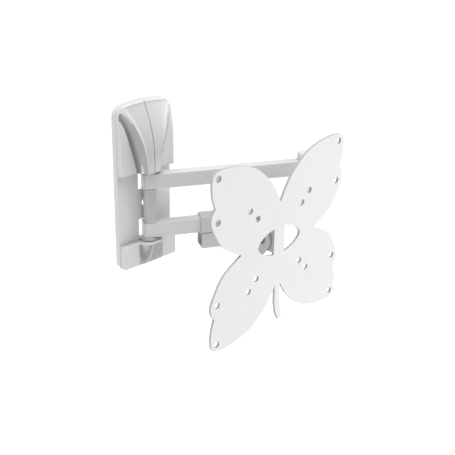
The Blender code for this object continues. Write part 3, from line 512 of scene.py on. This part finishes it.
def make_lower_cover():
    """The lower bracket's cover: its fan narrows evenly with height, and its ridge rises by a power."""
    z = np.linspace(PLATE_FOOT, LOWER_HEAD, 130)
    tall = LOWER_HEAD - PLATE_FOOT
    fan = 15 * MM - 5 * MM * climb(z, start=PLATE_FOOT, span=tall, power=1)
    ridge = 19.4 * MM + 10.2 * MM * climb(z, start=PLATE_FOOT, span=tall, power=0.8)
    section = fan, np.full_like(z, 20.5 * MM), ridge, np.full_like(z, LOWER_COVER_FLAT)
    name = "lower_cover_bulge"
    rims = 0.7 * MM, 0.8 * MM, 0.7 * MM
    surface = cover_surface(name, z, section, PLATE_FOOT, level_head, flute_relief, rims)
    finish_cover(name, surface, "lower_cover")


make_hood()
make_lower_cover()


# ---------------------------------------------------------------- elbow caps

CAP_RADIUS = 12 * MM
CAP_RIM = 3.6 * MM
CAP_CROWN = 0.25 * MM
CAP_BORE = 8.5 * MM
CAP_BORE_DEPTH = 9 * MM
CAP_STEP = 0.35 * MM
CAP_STEP_LOW, CAP_STEP_HIGH = 0.9 * MM, 1.1 * MM
AXIS_RADIUS = 0.001 * MM


def make_cap(label, side):
    """A turned cap: a domed top with a rounded rim, a straight side, and a small step at its foot.

    The dome falls by the square of the radius, and the rim is a quarter of a circle.
    """
    node = f"{label}_elbow_cap"
    low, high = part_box(node)
    centre = ((low[0] + high[0]) / 2, (low[1] + high[1]) / 2, low[2] if side > 0 else high[2])
    tall = high[2] - low[2]
    dome_radius = CAP_RADIUS - CAP_RIM
    dome = [(r, tall - CAP_CROWN * (r / dome_radius) ** 2) for r in (AXIS_RADIUS, 3 * MM, 6 * MM, 8.3 * MM)]
    angle = np.linspace(0, np.pi / 2, 12)
    rim_radius = dome_radius + CAP_RIM * np.sin(angle)
    rim_height = tall - CAP_CROWN - CAP_RIM + CAP_RIM * np.cos(angle)
    skirt = [
        (CAP_RADIUS, CAP_STEP_HIGH),
        (CAP_RADIUS - CAP_STEP, CAP_STEP_LOW),
        (CAP_RADIUS - CAP_STEP, 0),
        (CAP_BORE, 0),
        (CAP_BORE, CAP_BORE_DEPTH),
        (AXIS_RADIUS, CAP_BORE_DEPTH),
    ]
    profile = [(r, side * h) for r, h in [*dome, *zip(rim_radius, rim_height), *skirt]]
    data = turned_data(node + "_turned", profile, centre)
    add_piece(node + "_turned", data, "first_arm", COVER_PLASTIC, node)


make_cap("upper", 1)
make_cap("lower", -1)


# ---------------------------------------------------------------- pieces that keep the CAD shape

# Each node's body, its finish and how far its edges are rounded.
ROUNDED = {
    "wall_plate": ("wall", SHADED_WALL_COAT, 0.5 * MM),
    "upper_hinge_bracket": ("wall", SHADED_BRACKET_COAT, 0.5 * MM),
    "lower_hinge_bracket": ("wall", SHADED_BRACKET_COAT, 0.5 * MM),
    "upper_bar": ("first_arm", SHADED_ARM_COAT, 0.4 * MM),
    "lower_bar": ("first_arm", SHADED_ARM_COAT, 0.4 * MM),
    "wall_knuckle": ("first_arm", SHADED_BRACKET_COAT, 0.5 * MM),
    "second_arm_bar": ("second_arm", SHADED_ARM_COAT, 0.3 * MM),
    "elbow_barrel": ("second_arm", SHADED_ARM_COAT, 0.4 * MM),
    "swivel_barrel": ("second_arm", SHADED_ARM_COAT, 0.4 * MM),
    "head_bracket": ("head", SHADED_BRACKET_COAT, 0.5 * MM),
    "vesa_plate": ("plate", POWDER_COAT, 0.5 * MM),
    "cable_clip": ("first_arm", SHADED_CLIP_PLASTIC, 0.5 * MM),
}
for end in ("wall", "elbow"):
    for bar in ("upper", "lower"):
        ROUNDED[f"{bar}_bar_{end}_plug"] = ("first_arm", COVER_PLASTIC, 0.3 * MM)

# The small hardware keeps its CAD mesh, and takes its finish by its slot.
HARDWARE = {"zinc_steel": BRIGHT_ZINC, "dark_steel": DARK_PHOSPHATE, "nylon": NATURAL_NYLON}
SLOTS = {entry["node"]: entry["material_slot"] for entry in frame["record"]["subparts"]}

for node, (body, finish, width) in ROUNDED.items():
    piece = softened(node, body, finish, width)
    if node == "vesa_plate":
        darker_edges(piece)

for node, slot in SLOTS.items():
    if slot in HARDWARE:
        materials = frame["nodes"][node].data.materials
        materials.clear()
        materials.append(HARDWARE[slot])


# ---------------------------------------------------------------- floor, lights and camera


def add_floor(side=40.0, level=-0.6):
    """A pale floor well below the mount, wide enough to fill the view."""
    data = bpy.data.meshes.new("floor")
    corners = [(-side, -side, level), (side, -side, level), (side, side, level), (-side, side, level)]
    data.from_pydata(corners, [], [(0, 1, 2, 3)])
    floor_paint, _, _ = shader_tree("pale_floor", neutral(0.76, 0), roughness=0.9)
    data.materials.append(floor_paint)
    thing = bpy.data.objects.new("floor", data)
    bpy.context.scene.collection.objects.link(thing)


def add_area(name, place, target, size, power):
    """A round soft light at place, turned to target."""
    data = bpy.data.lights.new(name, "AREA")
    data.shape = "DISK"
    data.size = size
    data.energy = power
    thing = bpy.data.objects.new(name, data)
    thing.location = place
    thing.rotation_euler = (Vector(target) - Vector(place)).to_track_quat("-Z", "Y").to_euler()
    bpy.context.scene.collection.objects.link(thing)


def add_sun(strength, degrees_wide):
    """A wide soft light from straight above, even over the whole floor."""
    data = bpy.data.lights.new("overhead", "SUN")
    data.energy = strength
    data.angle = math.radians(degrees_wide)
    thing = bpy.data.objects.new("overhead", data)
    bpy.context.scene.collection.objects.link(thing)


def add_world(strength):
    world = bpy.data.worlds.new("studio")
    world.use_nodes = True
    background = world.node_tree.nodes["Background"]
    background.inputs["Color"].default_value = (1, 1, 1, 1)
    background.inputs["Strength"].default_value = strength
    bpy.context.scene.world = world


def add_camera(place, ahead, yaw, roll, lens):
    """A camera at place that looks ahead. Its level axis is turned right by yaw and rolled, in degrees."""
    yaw, roll = math.radians(yaw), math.radians(roll)
    ahead = Vector(ahead).normalized()
    right = Vector((math.cos(yaw), -math.sin(yaw), 0))
    up = right.cross(ahead)
    turned_right = math.cos(roll) * right + math.sin(roll) * up
    turned_up = -math.sin(roll) * right + math.cos(roll) * up
    data = bpy.data.cameras.new("camera")
    data.lens = lens
    data.sensor_width = 36
    thing = bpy.data.objects.new("camera", data)
    turn = Matrix((turned_right, turned_up, -ahead)).transposed().to_4x4()
    thing.matrix_world = Matrix.Translation(place) @ turn
    bpy.context.scene.collection.objects.link(thing)
    bpy.context.scene.camera = thing


bpy.context.scene.view_settings.view_transform = "Standard"
add_floor()
add_world(strength=0.35)
add_sun(strength=3.2, degrees_wide=60)
add_area("right_front", place=(1.6, -0.8, 0.5), target=(0.03, -0.1, 0), size=0.7, power=17)
add_area("left_fill", place=(-1.6, -0.1, 0.3), target=(0.0, -0.05, 0), size=0.9, power=4.2)
# A long lens, turned about 45 degrees to the right and 23 degrees down, with a slight roll.
add_camera(place=(-0.6745, -0.8308, 0.3925), ahead=(0.6507, 0.6494, -0.3935), yaw=45.06, roll=1.0, lens=70.57)
